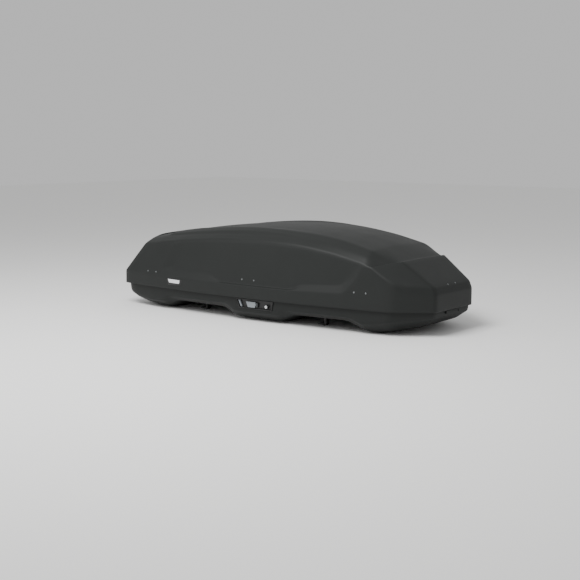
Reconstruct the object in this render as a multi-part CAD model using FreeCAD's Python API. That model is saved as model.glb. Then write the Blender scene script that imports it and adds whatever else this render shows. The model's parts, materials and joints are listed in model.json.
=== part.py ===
import FreeCAD, Part
import os
from math import sin, cos, pi, radians, hypot, atan2

# Roof cargo box. Millimetres. +X points to the nose, +Z up, -Y is the side with the lock.
# The origin is on the ground plane under the middle of the box.

Vec = FreeCAD.Vector

# ---- driving dimensions -------------------------------------------------------------------
rim_z = 120.0            # height of the lid's lower edge
rear_x = -962.0          # rear end of the lid
nose_x = 961.0           # front face of the lid
rear_half_width = 416.0  # half width of the lid's lower edge at the rear
nose_half_width = 305.0  # the same at the front corner of the sides
nose_corner_x = 786.0    # where the sides end and the slanted nose facets begin
side_bow = 60.0          # how far the sides bow out between those two places
face_half_width = 171.0  # half width of the flat front face
skirt_height = 70.0      # upright skirt at the lid's lower edge
wall = 4.0               # sheet thickness of lid and tray
panel_depth = 11.0       # how far the big side panel is let in
base_gap = 8.0           # between the lid's skirt and the tray's wall
tray_top = rim_z + 12.0  # the tray's wall reaches up inside the skirt
channel_roof = 48.0      # underside of the tray over the two crossbars
open_angle = 45.0        # the lid's full opening
hinge_y = 300.0          # hinge line, parallel to X
hinge_z = 77.0
latch_x = (-711.0, -18.0, 638.0)      # three hinges on the far side, three catches on the near side
bar_x = (-488.0, 317.0)               # middle of the two crossbars
clamp_y = (262.0, 232.0)              # rear and front clamps stand this far from the middle line
jaw_travel = 45.0        # how far a claw travels from open to home

# ---- small helpers ------------------------------------------------------------------------


def side_y(x):
    """Half width of the lid's lower edge at x."""
    span = nose_corner_x - rear_x
    middle = (nose_corner_x + rear_x) / 2
    straight = rear_half_width + (x - rear_x) * (nose_half_width - rear_half_width) / span
    return straight + side_bow * (1 - (2 * (x - middle) / span) ** 2)


def box(x0, x1, y0, y1, z0, z1):
    return Part.makeBox(x1 - x0, y1 - y0, z1 - z0, Vec(x0, y0, z0))


def rod(start, direction, radius, length):
    return Part.makeCylinder(radius, length, Vec(*start), Vec(*direction))


def prism(points, push):
    """A straight-sided solid: the outline through the points, pushed along a vector."""
    corners = [Vec(*p) for p in points]
    outline = Part.makePolygon(corners + corners[:1])
    return Part.Face(outline).extrude(Vec(*push))


def fuse(shapes):
    result = shapes[0]
    for shape in shapes[1:]:
        result = result.fuse(shape)
    return result.removeSplitter()


def save(name, shape):
    solids = shape.Solids
    keep = solids[0] if len(solids) == 1 else Part.makeCompound(solids)
    keep.exportStep("parts/" + name + ".step")
    print(name, len(solids), "solids", "valid" if keep.isValid() else "NOT VALID")


def turned(shape, angle, axis, centre=(0, 0, 0)):
    copy = shape.copy()
    copy.rotate(Vec(*centre), Vec(*axis), angle)
    return copy


def moved(shape, x, y, z):
    copy = shape.copy()
    copy.translate(Vec(x, y, z))
    return copy


# ---- shells: a net of points over one half, mirrored to the other --------------------------


def half_faces(columns, stations):
    """Four-sided faces between the columns of the wall and between the stations of the top."""
    faces = []
    for left, right in zip(columns, columns[1:]):
        for k in range(len(left) - 1):
            faces.append((left[k], right[k], right[k + 1], left[k + 1]))
    for back, front in zip(stations, stations[1:]):
        for k in range(len(back) - 1):
            faces.append((back[k], front[k], front[k + 1], back[k + 1]))
    return faces


def mirror_point(p):
    return (p[0], -p[1], p[2])


def triangles(columns, stations, inward=False):
    """Both halves as triangles whose corners run anticlockwise seen from outside."""
    found = []
    for face in half_faces(columns, stations):
        far = tuple(mirror_point(p) for p in reversed(face))
        for a, b, c, d in (face, (far[3], far[0], far[1], far[2])):
            for corners in ((a, b, c), (a, c, d)):
                if len(set(corners)) == 3:
                    found.append(corners[::-1] if inward else corners)
    return found


def offset_net(columns, stations, depth, rim_height, inward=False):
    """The same net moved to the inside by depth along the mean normal at each point."""
    normals = {}
    for a, b, c in triangles(columns, stations, inward):
        area = (Vec(*b) - Vec(*a)).cross(Vec(*c) - Vec(*a))
        for p in (a, b, c):
            normals[p] = normals.get(p, Vec(0, 0, 0)) + area

    def inside(p):
        unit = normals[p]
        unit = unit.multiply(1 / unit.Length)
        flat = 0.0 if p[1] == 0 else p[1] - depth * unit.y
        height = rim_height if p[2] == rim_height else p[2] - depth * unit.z
        return (p[0] - depth * unit.x, flat, height)

    lookup = {p: inside(p) for p in list(normals)}
    return [[lookup[p] for p in col] for col in columns], [[lookup[p] for p in row] for row in stations]


def solid_from(corner_sets, outline=None):
    faces = []
    for corners in corner_sets:
        points = [Vec(*p) for p in corners]
        faces.append(Part.Face(Part.makePolygon(points + points[:1])))
    if outline:
        points = [Vec(*p) for p in outline]
        faces.append(Part.Face(Part.makePolygon(points + points[:1])))
    shell = Part.makeShell(faces)
    shell.sewShape()
    body = Part.makeSolid(shell)
    if body.Volume < 0:
        body.reverse()
    return body


def rim_loop(columns):
    near = [col[0] for col in columns]
    far = [mirror_point(p) for p in reversed(near[1:-1])]
    return near + far


def shell_solid(columns, stations, rim_height, inward=False):
    """A sheet of even thickness, and the room inside it."""
    inner_columns, inner_stations = offset_net(columns, stations, wall, rim_height, inward)
    outside = triangles(columns, stations, inward)
    inside = triangles(inner_columns, inner_stations, inward)
    outer_rim = rim_loop(columns)
    inner_rim = rim_loop(inner_columns)
    skin = outside + [t[::-1] for t in inside]
    for k in range(len(outer_rim)):
        nxt = (k + 1) % len(outer_rim)
        skin.append((outer_rim[k], outer_rim[nxt], inner_rim[nxt]))
        skin.append((outer_rim[k], inner_rim[nxt], inner_rim[k]))
    return solid_from(skin), solid_from(inside, inner_rim), solid_from(outside, outer_rim)


# ---- lid ------------------------------------------------------------------------------------

lid_levels = 5
front_level = (0.0, 60.0, 86.0, 119.0, 233.0)      # heights above the rim on the nose
rear_level = (0.0, 72.0, 92.0, 130.0, 236.0)       # heights above the rim at the rear


def shoulder_low(x):
    """Height above the rim of the shoulder's lower edge."""
    return 298 - (9.6e-5 if x < 60 else 2.3e-4) * (x - 60) ** 2


def shoulder_high(x):
    """Height above the rim of the shoulder's upper edge."""
    away = x - 50
    if away < 0:
        return 349.5 - 1.12e-4 * away ** 2
    return 349.5 - 1.6e-4 * away ** 2 - 1.4e-10 * away ** 4


def shoulder_inset(x):
    """How far inboard of the lower edge the shoulder's upper edge lies."""
    t = min(1, max(0, (x - 330) / 420))
    return 144.5 - 61.5 * t * t * (3 - 2 * t)


def near_point(x, inset, height):
    return (x, -(side_y(x) - inset), rim_z + height)


def rear_lean(height):
    """The rear face leans forward above the skirt."""
    return rear_x + 0.9 * max(0, height - skirt_height)


def flush_inset(height):
    return 0.14 * max(0, height - skirt_height)


def lid_columns():
    columns = []
    for y, top in ((0.0, 293), (145.0, 291), (288.0, 284)):
        heights = rear_level[:4] + (top,)
        columns.append([(rear_lean(h), -y, rim_z + h) for h in heights])
    rear_corner = side_y(rear_x)
    for back, inset, heights in ((0, 50, rear_level[:4] + (262,)), (9, 9, rear_level), (48, 0, rear_level)):
        column = []
        for h in heights:
            x = rear_lean(h) + back
            column.append((x, -(rear_corner - inset - flush_inset(h)), rim_z + h))
        columns.append(column)
    side = (
        ((-760, -760, -758, -745, -670), (0, 68, 88, 118, None), 0),
        ((-607, -607, -620, -634, -542), (0, 63, 85, 107, None), 0),
        ((-515, -515, -513, -560, -482), (0, 64, 101, 128, None), 1),
        ((-400, -400, -400, -410, -390), (0, 65, 103, 140, None), 1),
        ((-276, -276, -276, -276, -276), (0, 66, 105, 145, None), 1),
        ((-206, -206, -206, -206, -190), (0, 66, 72, 130, None), 1),
        ((-60, -60, -60, -60, -60), (0, 66, 72, 130, None), 1),
        ((100, 100, 100, 100, 100), (0, 66, 71, 128, None), 1),
        ((259, 259, 259, 259, 250), (0, 66, 70, 125, None), 1),
        ((305, 305, 305, 305, 330), (0, 66, 99, 140, None), 1),
        ((420, 420, 420, 430, 470), (0, 68, 105, 140, None), 1),
        ((530, 530, 533, 557, 622), (0, 70, 112, 138, None), 1),
        ((552, 549, 575, 609, 650), (0, 73, 105, 143, None), 0),
    )
    for xs, heights, let_in in side:
        column = []
        for k in range(lid_levels):
            x = xs[k]
            h = heights[k] if heights[k] is not None else shoulder_low(x)
            inset = flush_inset(h)
            if let_in and k >= 2:
                inset += panel_depth if k < 4 else 0.5 * panel_depth
            if x > 600:
                inset *= 0.6
            column.append(near_point(x, inset, h))
        columns.append(column)
    return columns + nose_columns(front_level, corner_top=(683, 317, 210), lip_top=(785, 190, 233))


def nose_columns(levels, corner_top, lip_top):
    """Side corner, two columns on the slanted facet, front corner, and the middle of the nose."""
    corner = [(nose_corner_x, nose_half_width), (nose_corner_x, nose_half_width),
              (nose_corner_x + 3, nose_half_width - 1), (nose_corner_x + 11, nose_half_width - 8)]
    face = [(nose_x, face_half_width), (nose_x, face_half_width),
            (nose_x, face_half_width - 1), (nose_x - 13, face_half_width - 4)]
    corner_heights = (levels[0], levels[1], levels[2], levels[3] + 13)
    columns = []
    for part in (0.0, 0.36, 0.72, 1.0):
        column = []
        for k in range(4):
            x = corner[k][0] + part * (face[k][0] - corner[k][0])
            y = corner[k][1] + part * (face[k][1] - corner[k][1])
            h = corner_heights[k] + part * (levels[k] - corner_heights[k])
            column.append((x, -y, rim_z + h))
        top = [corner_top[i] + part * (lip_top[i] - corner_top[i]) for i in range(3)]
        column.append((top[0], -top[1], rim_z + top[2]))
        columns.append(column)
    middle = [(face[k][0], 0.0, rim_z + levels[k]) for k in range(4)]
    columns.append(middle + [(lip_top[0], 0.0, rim_z + lip_top[2] + 3)])
    return columns


def lid_stations(columns):
    """Rows across the roof, each from the shoulder's lower edge to the middle line."""
    stations = [[columns[k][-1] for k in (4, 3, 2, 1, 0)]]
    for column in columns[5:19]:
        x, y, z = column[-1]
        high = shoulder_high(x) + rim_z
        top_y = side_y(x) - shoulder_inset(x)
        middle_y = (-y + top_y) / 2 + 8
        middle_z = (z + high) / 2 + (10 if x < -600 else 3)
        crown = 11.0
        stations.append([column[-1], (x, -middle_y, middle_z), (x, -top_y, high),
                         (x, -0.55 * top_y, high + 0.7 * crown), (x, 0.0, high + crown)])
    nose = columns[19:]
    valley = [nose[0][-1]]
    for column in nose[1:]:
        x, y, z = column[-1]
        valley.append((x - 9, y, z - 6))
    stations.append(valley)
    stations.append([column[-1] for column in nose])
    return stations


# ---- tray -----------------------------------------------------------------------------------

keel = 0.0


def tray_columns():
    inset = wall + base_gap
    columns = []
    for y in (0.0, 145.0, 270.0):
        columns.append([(rear_x + inset, -y, tray_top), (rear_x + inset + 4, -y, 76),
                        (rear_x + 75, -y, 40), (rear_x + 128, -y, 16)])
    corner = side_y(rear_x)
    for back, side, low in ((0, 60, 0), (12, 26, 4), (50, inset, 8)):
        columns.append([(rear_x + inset + back, -(corner - side), tray_top),
                        (rear_x + inset + 4 + back, -(corner - side - 4), 74 - low),
                        (rear_x + 75 + 0.6 * back, -(corner - side - 12), 44),
                        (rear_x + 128 + 0.3 * back, -(corner - side - 50), 18)])
    ramp = (
        (-740, -740, 42, 0), (-636, -640, 42, 0), (-587, -545, 75, 1), (-400, -400, 78, 1), (-170, -200, 82, 1),
        (-116, -140, 48, 0), (20, 20, 47, 0), (160, 150, 50, 0), (207, 240, 77, 1), (390, 390, 79, 1),
        (579, 540, 77, 1), (628, 636, 51, 0), (700, 690, 56, 0),
    )
    for x, low_x, breakline, over_bar in ramp:
        low = channel_roof + 8 if over_bar else 14.0
        drop_inset = 46 if over_bar else 62
        columns.append([near_point(x, inset, tray_top - rim_z), near_point(x, inset + 2, breakline + 20 - rim_z),
                        near_point(x, inset + 7, breakline - rim_z), near_point(low_x, drop_inset, low - rim_z)])
    corner = [(778, 296, tray_top), (777, 294, 88), (774, 290, 70), (752, 252, 24)]
    face = [(948, 165, tray_top), (948, 164, 104), (945, 160, 90), (893, 138, 50)]
    for part in (0.0, 0.36, 0.72, 1.0):
        column = []
        for a, b in zip(corner, face):
            x, y, z = [a[i] + part * (b[i] - a[i]) for i in range(3)]
            column.append((x, -y, z))
        columns.append(column)
    columns.append([(x, 0.0, z) for x, y, z in face])
    return columns


def tray_stations(columns):
    """Rows across the underside, from the foot of the side wall to the middle line."""
    stations = [[columns[k][-1] for k in (4, 3, 2, 1, 0)]]
    for column in columns[5:19]:
        x, y, z = column[-1]
        floor = channel_roof if z > channel_roof else keel
        if x < -760:
            floor = 4.0
        stations.append([column[-1], (x, 0.86 * y, floor), (x, 0.68 * y, floor), (x, 0.36 * y, floor), (x, 0.0, floor)])
    nose = columns[19:]
    x, y, z = nose[0][-1]
    stations.append([(x, y, z), (x + 20, 0.8 * y, 16.0), (x + 30, 0.6 * y, 14.0), (x + 36, 0.32 * y, 13.0),
                     (x + 38, 0.0, 12.0)])
    stations.append([column[-1] for column in nose])
    return stations



# ---- working out places ---------------------------------------------------------------------


def surface_y(solid, x, z, side):
    """Where a line along Y through (x, z) enters the solid from that side (-1 near, 1 far)."""
    cut = Part.makeLine(Vec(x, side * 600, z), Vec(x, 0, z)).common(solid)
    return cut.BoundBox.YMin if side < 0 else cut.BoundBox.YMax


def lining(block, room, dx, dy, dz):
    """The part of a block that lies against the inside of a room, as thick as the shift."""
    return block.common(room).cut(moved(room, dx, dy, dz))


def yz_band(x0, x1, centre, r0, r1, start, end):
    """A ring sector in the YZ plane, angles in degrees from +Y towards +Z."""
    def at(r, degrees):
        return Vec(x0, centre[0] + r * cos(radians(degrees)), centre[1] + r * sin(radians(degrees)))

    half = (start + end) / 2
    outer = Part.Arc(at(r1, start), at(r1, half), at(r1, end)).toShape()
    inner = Part.Arc(at(r0, end), at(r0, half), at(r0, start)).toShape()
    first = Part.makeLine(at(r1, end), at(r0, end))
    last = Part.makeLine(at(r0, start), at(r1, start))
    return Part.Face(Part.Wire([outer, first, inner, last])).extrude(Vec(x1 - x0, 0, 0))


# ---- hinges on the far side -----------------------------------------------------------------

pin_r = 4.0
running = 0.06
plate_z = (140.0, 216.0)
plate_half = 44.0
plate_thick = 3.0


def tray_wall_y(x):
    return side_y(x) - wall - base_gap


def hinge_arm(x, lid_room):
    """Gooseneck arm: it leaves the pin upwards and passes over the tray's wall to the lid."""
    over = tray_wall_y(x) - hinge_y
    reach = hypot(over, tray_top - hinge_z) + 9
    wall_angle = atan2(tray_top - hinge_z, over) * 180 / pi
    lift = wall_angle + open_angle + 22
    band = yz_band(x - 7, x + 7, (hinge_y, hinge_z), reach, reach + 11, 5, lift + 4)
    spoke = box(x - 7, x + 7, hinge_y, hinge_y + reach + 6, hinge_z - 6, hinge_z + 6)
    spoke = turned(spoke, lift, (1, 0, 0), (x, hinge_y, hinge_z))
    eye = rod((x - 7, hinge_y, hinge_z), (1, 0, 0), 10, 14)
    reach_out = box(x - 7, x + 7, hinge_y - 400, hinge_y + 400, rim_z, 500).common(lid_room)
    flange = box(x - plate_half, x + plate_half, hinge_y - 20, 500, *plate_z)
    flange = lining(flange, lid_room, 0, -plate_thick, 0)
    arm = fuse([spoke, eye, band.common(reach_out), flange])
    return arm.cut(rod((x - 8, hinge_y, hinge_z), (1, 0, 0), pin_r + running, 16))


def hinge_bracket(x, tray_room):
    ears = [box(x + s, x + s + 5, hinge_y - 13, hinge_y + 13, 0, hinge_z + 11) for s in (-12.5, 7.5)]
    foot = box(x - 30, x + 30, hinge_y - 24, hinge_y + 24, 0, channel_roof)
    foot = lining(foot, tray_room, 0, 0, 4)
    bracket = fuse(ears + [foot]).common(tray_room)
    return bracket.cut(rod((x - 20, hinge_y, hinge_z), (1, 0, 0), pin_r, 40))


def hinge_pin(x):
    shank = rod((x - 14, hinge_y, hinge_z), (1, 0, 0), pin_r, 28)
    head = rod((x + 12.6, hinge_y, hinge_z), (1, 0, 0), pin_r + 3, 3)
    return shank.fuse(head).removeSplitter()


# ---- catches and lock on the near side --------------------------------------------------------

eye_inset = 48.0         # the catches' eyes lie this far inboard of the lid's lower edge
eye_z = 99.0
eye_open = 7.0           # half width of the eye
finger = 4.5             # half thickness of the lock fingers
part_gap = 0.3           # between a finger and the bar that carries it
lock_middle = 26.0       # middle of the lock recess along X


def wall_angle_at(x):
    """Direction of the near wall in plan, degrees from +X."""
    slope = -(side_y(x + 1) - side_y(x - 1)) / 2
    return atan2(slope, 1) * 180 / pi


lock_turn = wall_angle_at(lock_middle)
lock_y = -tray_wall_y(lock_middle)


def in_lock_frame(shape):
    """From the lock's own frame (x along the wall, y inwards) to the box's frame."""
    return moved(turned(shape, lock_turn, (0, 0, 1)), lock_middle, lock_y, 0)


def catch_y(x):
    return -(side_y(x) - eye_inset)


def catch_plate(x, lid_room):
    """A plate on the lid's wall, with a tongue that hangs inside the tray and holds an eye."""
    y = catch_y(x)
    plate = box(x - plate_half, x + plate_half, -500, y, *plate_z)
    plate = lining(plate, lid_room, 0, plate_thick, 0)
    web = box(x - 2, x + 2, -500, y + 10, tray_top + 9, tray_top + 44).common(lid_room)
    tongue = box(x - 2, x + 2, y - 10, y + 10, eye_z - 15, tray_top + 20)
    eye = box(x - 3, x + 3, y - eye_open, y + eye_open, eye_z - eye_open, eye_z + eye_open)
    return fuse([plate, web, tongue]).cut(eye)


def recess_outline(shrink):
    """The lock recess seen from outside: a long tub whose rear end slants."""
    top = 115.5 - shrink
    low = 68 + shrink
    return [(-118 + 1.2 * shrink, top), (118 - shrink, top), (109 - shrink, low), (-97 + shrink, low)]


def recess_prism(shrink, y0, y1):
    return prism([(x, y0, z) for x, z in recess_outline(shrink)], (0, y1 - y0, 0))


def lock_housing():
    tub = recess_prism(0, -1.5, 16).cut(recess_prism(3, -2, 13))
    slot = box(-48, 16, 12, 17, 80, 96)
    key_hole = rod((73, 12, 86), (0, 1, 0), 8.06, 5)
    return in_lock_frame(tub.cut(slot).cut(key_hole))


def slide_handle():
    plate = prism([(-59, 2, 74), (-53, 2, 104), (4, 2, 104), (0, 2, 74)], (0, 8, 0))
    grip = prism([(5, 4, 76), (8, 4, 102), (20, 4, 100), (17, 4, 78)], (0, 6, 0))
    bridge = box(-20, 12, 6, 10, 84, 96)
    neck = box(-42, -16, 9, 20, 82, 94)
    return in_lock_frame(fuse([plate, grip, bridge, neck]))


def lock_slider():
    """Flat bar behind the recess, with a pin for each rod."""
    bar = box(-150, 150, 20, 24, 98, 112)
    drop = box(-46, -12, 20, 24, 80, 98)
    notch = box(38, 104, 19, 25, 97, 109)
    pins = [rod((x, 24, 105), (0, 1, 0), 3, 13) for x in (-136, 136)]
    return in_lock_frame(fuse([bar.cut(notch), drop] + pins))


def middle_lock_finger():
    """Finger on the back of the slider."""
    carrier = box(-102, -88, 24 + part_gap, 36 + finger, 94, 104)
    pointer = box(-90, -51, 36 - finger, 36 + finger, eye_z - finger, eye_z + finger)
    return in_lock_frame(fuse([carrier, pointer]))


def lock_point(x, y):
    a = radians(lock_turn)
    return (lock_middle + x * cos(a) - y * sin(a), lock_y + x * sin(a) + y * cos(a))


def rod_frame(start, end):
    """Turn and length from start to end, both (x, y)."""
    angle = atan2(end[1] - start[1], end[0] - start[0]) * 180 / pi
    return angle, hypot(end[0] - start[0], end[1] - start[1])


rear_rod_start = lock_point(-136, 31.5)
rear_rod_end = (latch_x[0] - 46, catch_y(latch_x[0]) + 22)
front_rod_start = lock_point(136, 31.5)
front_rod_end = (latch_x[2] - 7, catch_y(latch_x[2]))


def lock_rod_bar(start, angle, length):
    """Flat bar with a bore for the slider's pin."""
    bar = box(-12, length, -2, 2, 98, 112)
    bar = bar.cut(rod((0, -3, 105), (0, 1, 0), 4, 6))
    return moved(turned(bar, angle, (0, 0, 1)), start[0], start[1], 0)


def rear_lock_rod():
    """Runs back past the rear catch, to the finger that turns round there."""
    angle, length = rod_frame(rear_rod_start, rear_rod_end)
    return lock_rod_bar(rear_rod_start, angle, length - 10 - part_gap)


def rear_lock_finger():
    """An angle on the rear rod's end, so that its finger points forwards."""
    x, y = rear_rod_end
    eye_y = catch_y(latch_x[0])
    knee = box(x - 4, x + 10, eye_y - finger, y + 2, 94, 112)
    pointer = box(x, latch_x[0] - 7, eye_y - finger, eye_y + finger, eye_z - finger, eye_z + finger)
    return fuse([knee, pointer])


def front_lock_rod():
    angle, length = rod_frame(front_rod_start, front_rod_end)
    return lock_rod_bar(front_rod_start, angle, length - 60 - part_gap)


def front_lock_finger():
    """Square finger on the front rod's end."""
    angle, length = rod_frame(front_rod_start, front_rod_end)
    pointer = box(length - 60, length, -finger, finger, eye_z - finger, eye_z + finger)
    return moved(turned(pointer, angle, (0, 0, 1)), front_rod_start[0], front_rod_start[1], 0)


def rod_guide(x, start, end, tray_room):
    """A bracket on the tray's wall that the rod slides through."""
    t = (x - start[0]) / (end[0] - start[0])
    y = start[1] + t * (end[1] - start[1])
    block = box(x - 7, x + 7, -500, y + 7, 92, 118).common(tray_room)
    return block.cut(box(x - 8, x + 8, y - 4, y + 4, 96, 114))


def key_cylinder():
    core = rod((73, 2, 86), (0, 1, 0), 8, 17)
    face = rod((73, 0, 86), (0, 1, 0), 11, 6)
    keyway = box(72, 74, -1, 3, 80, 92)
    return in_lock_frame(core.fuse(face).removeSplitter().cut(keyway))


def key_cam():
    tail = box(68, 95, 19, 22, 82, 90)
    hub = rod((73, 19, 86), (0, 1, 0), 9, 3)
    return in_lock_frame(tail.fuse(hub).removeSplitter())


# ---- lid supports: a spring strut at each end ---------------------------------------------------

strut_x = (-800.0, 700.0)
strut_r = 260.0          # both ends lie this far from the hinge line
foot_angle = 190.0
head_angle = 130.0


def round_hinge(angle):
    return (hinge_y + strut_r * cos(radians(angle)), hinge_z + strut_r * sin(radians(angle)))


strut_foot = round_hinge(foot_angle)
strut_head = round_hinge(head_angle)
strut_long = 2 * strut_r * sin(radians((foot_angle - head_angle) / 2))
strut_way = (0.0, (strut_head[0] - strut_foot[0]) / strut_long, (strut_head[1] - strut_foot[1]) / strut_long)


def up_strut(x, along):
    return (x, strut_foot[0] + along * strut_way[1], strut_foot[1] + along * strut_way[2])


def strut_cylinder(x):
    tube = rod(up_strut(x, 20), strut_way, 11, 183)
    neck = rod(up_strut(x, 6), strut_way, 6.5, 16)
    eye = rod((x - 5, strut_foot[0], strut_foot[1]), (1, 0, 0), 11, 10)
    hollow = rod(up_strut(x, 26), strut_way, 8, 169)
    bore = rod(up_strut(x, 190), strut_way, 5 + running, 20)
    pivot = rod((x - 6, strut_foot[0], strut_foot[1]), (1, 0, 0), pin_r + running, 12)
    return fuse([tube, neck, eye]).cut(hollow).cut(bore).cut(pivot)


def strut_rod(x):
    stem = rod(up_strut(x, 28), strut_way, 5, strut_long - 34)
    piston = rod(up_strut(x, 28), strut_way, 7.9, 6)
    eye = rod((x - 4, strut_head[0], strut_head[1]), (1, 0, 0), 9, 8)
    return fuse([stem, piston, eye]).cut(rod((x - 5, strut_head[0], strut_head[1]), (1, 0, 0), 4, 10))


def strut_foot_bracket(x, tray_room):
    y, z = strut_foot
    ears = [box(x + s, x + s + 4, y - 12, y + 12, 0, z + 10) for s in (-11, 7)]
    plate = lining(box(x - 24, x + 24, y - 24, y + 24, 0, z), tray_room, 0, 0, 4)
    pin = rod((x - 13, y, z), (1, 0, 0), pin_r, 26)
    return fuse([piece.common(tray_room) for piece in ears] + [plate, pin])


def strut_head_bracket(x, lid_room):
    y, z = strut_head
    tab = box(x + 5, x + 11, y - 12, y + 12, z - 12, 500).common(lid_room)
    plate = lining(box(x - 24, x + 26, y - 24, y + 24, z + 30, 500), lid_room, 0, 0, -4)
    return fuse([tab, plate])


# ---- clamps that grip the crossbars ---------------------------------------------------------------

floor_z = channel_roof + wall
screw_z = floor_z + 28
leg_front = 53.0         # front face of the claw, from the bar's middle
bar_half = 40.0
bar_top = channel_roof - 6


def clamp_housing(x, y):
    flange = box(x - 8, x + 112, y - 42, y + 42, floor_z, floor_z + 4)
    shell = box(x + 24, x + 112, y - 26, y + 26, floor_z, floor_z + 50)
    room = box(x + 32, x + 105, y - 16, y + 16, floor_z - 1, floor_z + 44)
    spindle = rod((x + 20, y, screw_z), (1, 0, 0), 5 + running, 100)
    holes = [rod((x + sx, y + sy, floor_z - 1), (0, 0, 1), 3, 6) for sx in (2, 100) for sy in (-35, 35)]
    return flange.fuse(shell).removeSplitter().cut(room).cut(spindle).cut(Part.makeCompound(holes))


def clamp_jaw(x, y):
    """Carriage inside the housing, leg through the floor, and the hook that goes under the bar."""
    carriage = box(x + 36, x + 58, y - 14, y + 14, floor_z + 2, floor_z + 40)
    leg = box(x + leg_front - 12, x + leg_front, y - 12, y + 12, 6, floor_z + 4)
    hook = prism([(x + 1, y - 12, 2.5), (x + 1, y - 12, 8), (x + 16, y - 12, 11), (x + 45, y - 12, 12),
                  (x + leg_front, y - 12, 12), (x + leg_front, y - 12, 7), (x + leg_front - 8, y - 12, 1.5)],
                 (0, 24, 0))
    bore = rod((x + 30, y, screw_z), (1, 0, 0), 5 + running, 40)
    return fuse([carriage, leg, hook]).cut(bore)


def clamp_knob(x, y):
    spindle = rod((x + 26, y, screw_z), (1, 0, 0), 5, 96)
    wheel = rod((x + 114, y, screw_z), (1, 0, 0), 20, 17)
    lobes = []
    for k in range(6):
        a = k * pi / 3
        lobes.append(rod((x + 114, y + 17 * cos(a), screw_z + 17 * sin(a)), (1, 0, 0), 6, 17))
    return fuse([spindle, wheel] + lobes)


def bar_pad(x, y):
    pad = box(x - bar_half, x + bar_half - 4, y - 34, y + 34, bar_top, channel_roof)
    grooves = [box(x + g, x + g + 3, y - 35, y + 35, bar_top - 1, bar_top + 2) for g in (-26, -10, 6, 22)]
    return pad.cut(Part.makeCompound(grooves))


def clamp_screws(x, y):
    screws = []
    for sx in (2, 100):
        for sy in (-35, 35):
            head = rod((x + sx, y + sy, floor_z + 4), (0, 0, 1), 6, 4)
            shank = rod((x + sx, y + sy, channel_roof + 1), (0, 0, 1), 3, floor_z + 4 - channel_roof)
            socket = rod((x + sx, y + sy, floor_z + 6), (0, 0, 1), 2.5, 3)
            screws.append(head.fuse(shank).removeSplitter().cut(socket))
    return screws


def floor_rail(x):
    rail = box(x - 70, x - 30, -200, 200, floor_z, floor_z + 12)
    return rail.cut(box(x - 67.5, x - 32.5, -201, 201, floor_z - 1, floor_z + 9.5))


# ---- the rest of the lid --------------------------------------------------------------------------


def roof_rib(x, lid_room):
    block = box(x - 24, x + 24, -265, 265, 380, 500)
    rib = lining(block, lid_room, 0, 0, -11)
    return rib.cut(moved(box(x - 20, x + 20, -400, 400, 0, 500).common(lid_room), 0, 0, -3))


rivet_head = 4.5
rivet_body = 2.4
rivet_pairs = ((-745, -677), (-57, 20), (607, 669))
rivet_heights = (205.0, 215.5, 204.0)
nose_rivets = ((943.0, 34.0), (943.0, -34.0))


def side_rivets(lid_block):
    heads = []
    shanks = []
    for pair, z in zip(rivet_pairs, rivet_heights):
        for x in pair:
            for side in (-1, 1):
                y = surface_y(lid_block, x, z, side)
                heads.append(rod((x, y + side * 0.9, z), (0, side, 0), rivet_head, 1.6))
                shanks.append(rod((x, y + side * 1.2, z), (0, -side, 0), rivet_body, 9))
    return heads, shanks


def front_rivets(lid_block):
    heads = []
    shanks = []
    for x, y in nose_rivets:
        line = Part.makeLine(Vec(x, y, 600), Vec(x, y, rim_z + 60)).common(lid_block)
        z = line.BoundBox.ZMax
        lean = (0.573, 0.0, 0.819)
        start = (x + 0.4 * lean[0], y, z + 0.4 * lean[2])
        heads.append(rod(start, lean, rivet_head, 1.6))
        shanks.append(rod(start, (-lean[0], 0, -lean[2]), rivet_body, 9))
    return heads, shanks


def nose_hook(lid_room):
    """A tongue behind the nose that drops into the guide on the tray's front wall."""
    x = nose_x - 34
    pad = lining(box(x, nose_x, -48, 48, 215, 400), lid_room, -3, 0, -3)
    stem = box(x, x + 5, -30, 30, tray_top - 28, 245).common(lid_room)
    tongue = box(x, x + 5, -30, 30, tray_top - 28, tray_top)
    return fuse([pad, stem, tongue])


def nose_guide(tray_room):
    x = nose_x - 34
    block = box(x - 10, 1000, -52, 52, tray_top - 36, tray_top - 3).common(tray_room)
    return block.cut(box(x - 4, x + 10, -40, 40, 0, 200))


def nose_grip():
    grip = box(nose_x - 13, nose_x - 6, -60, 60, 103, 116)
    return grip.cut(box(nose_x - 9, nose_x, -54, 54, 100, 111))


def badge_outline(y, push):
    return prism([(-591, y, 176), (-473, y, 176), (-485, y, 147), (-576, y, 141)], (0, push, 0))


# ---- make every piece -----------------------------------------------------------------------------

os.makedirs("parts", exist_ok=True)
lid_net = lid_columns()
lid_shell, lid_room, lid_block = shell_solid(lid_net, lid_stations(lid_net), rim_z)
tray_net = tray_columns()
tray_shell, tray_room = shell_solid(tray_net, tray_stations(tray_net), tray_top, inward=True)[:2]

side_heads, side_shanks = side_rivets(lid_block)
nose_heads, nose_shanks = front_rivets(lid_block)
shanks = Part.makeCompound(side_shanks + nose_shanks)
badge_y = -side_y(-530) - 2
badge_pocket = badge_outline(badge_y, 2 + 1.6)
lid_shell = lid_shell.cut(shanks).cut(badge_pocket)
save("lid_shell", lid_shell)
save("blank_badge", badge_outline(badge_y, 10).common(badge_outline(badge_y + 2.2, 1.4)))
save("side_rivets", Part.makeCompound([a.fuse(b).removeSplitter() for a, b in zip(side_heads, side_shanks)]))
save("nose_rivets", Part.makeCompound([a.fuse(b).removeSplitter() for a, b in zip(nose_heads, nose_shanks)]))
save("roof_rib_rear", roof_rib(-350, lid_room))
save("roof_rib_front", roof_rib(150, lid_room))
save("nose_hook", nose_hook(lid_room).cut(shanks))

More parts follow.
